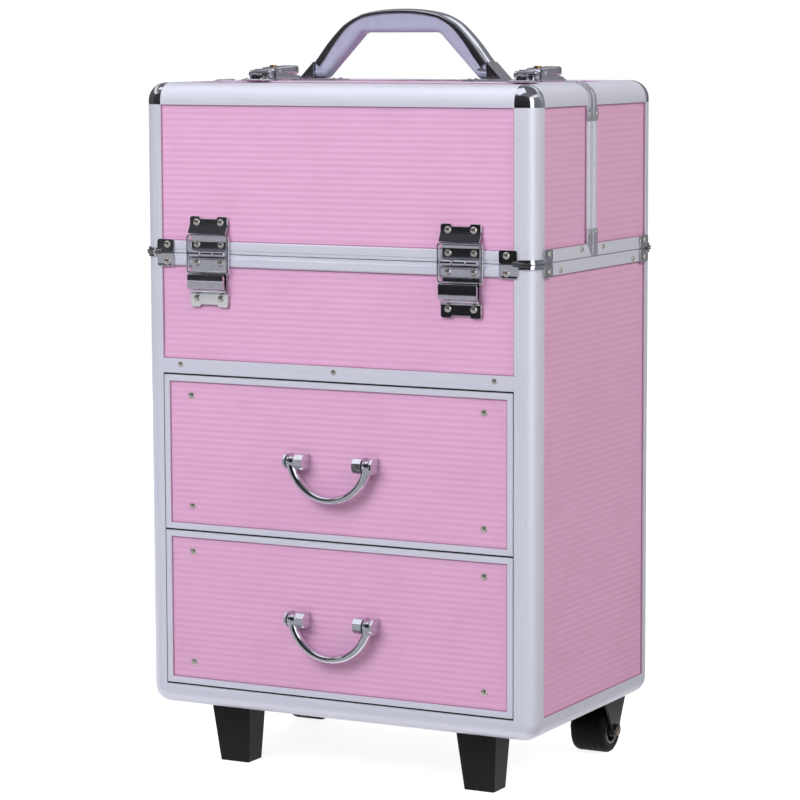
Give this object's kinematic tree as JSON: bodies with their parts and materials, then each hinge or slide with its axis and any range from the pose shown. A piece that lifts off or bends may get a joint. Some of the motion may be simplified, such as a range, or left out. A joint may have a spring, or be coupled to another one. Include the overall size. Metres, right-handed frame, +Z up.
{
  "type": "makeup train case",
  "caption": "Upright rolling makeup case with a split top of two half lids, cantilever trays, front drawers, carry handle, telescopic pull handle, feet and wheels.",
  "frame": {"origin": "middle of the case at floor level", "axes": "+Z up; the front with the drawers faces -Y; +X is to the right when facing the front"},
  "size_m": [0.365, 0.2637, 0.6325],
  "materials": {
    "ribbed_panel": "ribbed, semi-gloss",
    "aluminium_trim": "satin anodised",
    "chrome_fitting": "polished",
    "grip_plastic": "satin",
    "brass_plug": "polished",
    "black_plastic": "moulded",
    "tray_plastic": "moulded",
    "lined_board": "lined board",
    "plated_steel": "zinc plated",
    "black_steel": "powder coated",
    "wheel_rubber": "smooth"
  },
  "bodies": {
    "body": {"body_side_panels": "ribbed_panel", "back_panel": "ribbed_panel", "bottom_panel": "black_plastic", "compartment_front_panel": "ribbed_panel", "front_cross_rail": "aluminium_trim", "compartment_floor": "lined_board", "body_corner_posts": "aluminium_trim", "bottom_edge_frame": "aluminium_trim", "body_rims": "aluminium_trim", "body_seam_brackets": "chrome_fitting", "hinge_lower_leaves": "chrome_fitting", "front_feet": "black_plastic", "caster_forks": "black_steel", "drawer_runners": "plated_steel", "pull_handle_sleeves": "black_plastic"},
    "front_lid": {"front_lid_face_panel": "ribbed_panel", "front_lid_top_panel": "ribbed_panel", "front_lid_end_panels": "ribbed_panel", "front_lid_edge_trims": "aluminium_trim", "front_lid_rims": "aluminium_trim", "front_lid_corner_fittings": "chrome_fitting", "front_lid_hinge_leaves": "chrome_fitting", "latch_keepers": "chrome_fitting"},
    "rear_lid": {"rear_lid_face_panel": "ribbed_panel", "rear_lid_top_panel": "ribbed_panel", "rear_lid_end_panels": "ribbed_panel", "rear_lid_edge_trims": "aluminium_trim", "rear_lid_rims": "aluminium_trim", "rear_lid_corner_fittings": "chrome_fitting", "rear_lid_hinge_leaves": "chrome_fitting", "rear_lid_top_fittings": "chrome_fitting"},
    "front_rings": {"front_lid_stay_rings": "chrome_fitting"},
    "rear_rings": {"rear_lid_stay_rings": "chrome_fitting"},
    "front_lower_tray_body": {"front_lower_tray": "tray_plastic"},
    "front_upper_tray_body": {"front_upper_tray": "tray_plastic"},
    "rear_lower_tray_body": {"rear_lower_tray": "tray_plastic"},
    "rear_upper_tray_body": {"rear_upper_tray": "tray_plastic"},
    "front_arms": {"front_tray_arms": "plated_steel"},
    "rear_arms": {"rear_tray_arms": "plated_steel"},
    "carry_handle": {"carry_handle_arch": "chrome_fitting", "carry_handle_grip": "grip_plastic"},
    "left_lever": {"left_latch_lever": "chrome_fitting"},
    "right_lever": {"right_latch_lever": "chrome_fitting"},
    "left_plug": {"left_key_plug": "brass_plug"},
    "right_plug": {"right_key_plug": "brass_plug"},
    "lower_drawer": {"lower_drawer_box": "lined_board", "lower_drawer_front_panel": "ribbed_panel", "lower_drawer_frame": "aluminium_trim", "lower_drawer_pull_posts": "chrome_fitting"},
    "upper_drawer": {"upper_drawer_box": "lined_board", "upper_drawer_front_panel": "ribbed_panel", "upper_drawer_frame": "aluminium_trim", "upper_drawer_pull_posts": "chrome_fitting"},
    "lower_pull": {"lower_drawer_bail": "chrome_fitting"},
    "upper_pull": {"upper_drawer_bail": "chrome_fitting"},
    "pull_handle": {"pull_handle_tubes": "plated_steel", "pull_handle_grip": "black_plastic"},
    "release_button": {"pull_handle_button": "black_plastic"},
    "left_caster_wheel": {"left_wheel": "wheel_rubber"},
    "right_caster_wheel": {"right_wheel": "wheel_rubber"}
  },
  "joints": [
    {"name": "front_lid_hinge", "type": "hinge", "parent": "body", "child": "front_lid", "pos_m": [0, -0.1193, 0.4325], "axis": [1, 0, 0], "range_deg": [0, 90]},
    {"name": "front_ring_swing", "type": "hinge", "parent": "front_lid", "child": "front_rings", "pos_m": [0, -0.1194, 0.448], "axis": [1, 0, 0], "range_deg": [-61, 0]},
    {"name": "front_lower_tray_pivot", "type": "hinge", "parent": "front_lid", "child": "front_lower_tray_body", "pos_m": [0, -0.0963, 0.4465], "axis": [1, 0, 0], "range_deg": [-90, 0]},
    {"name": "front_upper_tray_pivot", "type": "hinge", "parent": "front_lid", "child": "front_upper_tray_body", "pos_m": [0, -0.0533, 0.4885], "axis": [1, 0, 0], "range_deg": [-90, 0]},
    {"name": "front_arm_pivot", "type": "hinge", "parent": "body", "child": "front_arms", "pos_m": [0, -0.0873, 0.4295], "axis": [1, 0, 0], "range_deg": [0, 90]},
    {"name": "rear_lid_hinge", "type": "hinge", "parent": "body", "child": "rear_lid", "pos_m": [0, 0.1193, 0.4325], "axis": [1, 0, 0], "range_deg": [-90, 0]},
    {"name": "rear_ring_swing", "type": "hinge", "parent": "rear_lid", "child": "rear_rings", "pos_m": [0, 0.1194, 0.448], "axis": [1, 0, 0], "range_deg": [0, 61]},
    {"name": "rear_lower_tray_pivot", "type": "hinge", "parent": "rear_lid", "child": "rear_lower_tray_body", "pos_m": [0, 0.0963, 0.4465], "axis": [1, 0, 0], "range_deg": [0, 90]},
    {"name": "rear_upper_tray_pivot", "type": "hinge", "parent": "rear_lid", "child": "rear_upper_tray_body", "pos_m": [0, 0.0533, 0.4885], "axis": [1, 0, 0], "range_deg": [0, 90]},
    {"name": "rear_arm_pivot", "type": "hinge", "parent": "body", "child": "rear_arms", "pos_m": [0, 0.0873, 0.4295], "axis": [1, 0, 0], "range_deg": [-90, 0]},
    {"name": "carry_handle_fold", "type": "hinge", "parent": "rear_lid", "child": "carry_handle", "pos_m": [0, 0.008, 0.5845], "axis": [1, 0, 0], "range_deg": [-85, 0]},
    {"name": "left_lever_lift", "type": "hinge", "parent": "rear_lid", "child": "left_lever", "pos_m": [-0.1245, -0.0011, 0.5799], "axis": [1, 0, 0], "range_deg": [0, 70]},
    {"name": "left_key_turn", "type": "hinge", "parent": "left_lever", "child": "left_plug", "pos_m": [-0.1245, 0.0049, 0.5835], "axis": [0, 0, 1], "range_deg": [0, 90]},
    {"name": "right_lever_lift", "type": "hinge", "parent": "rear_lid", "child": "right_lever", "pos_m": [0.1245, -0.0011, 0.5799], "axis": [1, 0, 0], "range_deg": [0, 70]},
    {"name": "right_key_turn", "type": "hinge", "parent": "right_lever", "child": "right_plug", "pos_m": [0.1245, 0.0049, 0.5835], "axis": [0, 0, 1], "range_deg": [0, 90]},
    {"name": "lower_drawer_slide", "type": "slide", "parent": "body", "child": "lower_drawer", "axis": [0, -1, 0], "range_m": [0, 0.15]},
    {"name": "lower_pull_swing", "type": "hinge", "parent": "lower_drawer", "child": "lower_pull", "pos_m": [0, -0.1243, 0.13528], "axis": [-1, 0, 0], "range_deg": [0, 100]},
    {"name": "upper_drawer_slide", "type": "slide", "parent": "body", "child": "upper_drawer", "axis": [0, -1, 0], "range_m": [0, 0.15]},
    {"name": "upper_pull_swing", "type": "hinge", "parent": "upper_drawer", "child": "upper_pull", "pos_m": [0, -0.1243, 0.26622], "axis": [-1, 0, 0], "range_deg": [0, 100]},
    {"name": "pull_handle_slide", "type": "slide", "parent": "body", "child": "pull_handle", "axis": [0, 0, 1], "range_m": [0, 0.28]},
    {"name": "release_button_press", "type": "slide", "parent": "pull_handle", "child": "release_button", "axis": [0, 0, -1], "range_m": [0, 0.003], "stiffness_N_per_m": 300},
    {"name": "left_wheel_spin", "type": "hinge", "parent": "body", "child": "left_caster_wheel", "pos_m": [-0.14, 0.0905, 0.02], "axis": [1, 0, 0], "continuous": true},
    {"name": "right_wheel_spin", "type": "hinge", "parent": "body", "child": "right_caster_wheel", "pos_m": [0.14, 0.0905, 0.02], "axis": [1, 0, 0], "continuous": true}
  ],
  "couplings": [
    {"joint": "front_ring_swing", "follows": "front_lid_hinge", "ratio": -0.6655},
    {"joint": "front_lower_tray_pivot", "follows": "front_lid_hinge", "ratio": -1},
    {"joint": "front_upper_tray_pivot", "follows": "front_lid_hinge", "ratio": -1},
    {"joint": "front_arm_pivot", "follows": "front_lid_hinge", "ratio": 1},
    {"joint": "rear_ring_swing", "follows": "rear_lid_hinge", "ratio": -0.6655},
    {"joint": "rear_lower_tray_pivot", "follows": "rear_lid_hinge", "ratio": -1},
    {"joint": "rear_upper_tray_pivot", "follows": "rear_lid_hinge", "ratio": -1},
    {"joint": "rear_arm_pivot", "follows": "rear_lid_hinge", "ratio": 1}
  ]
}
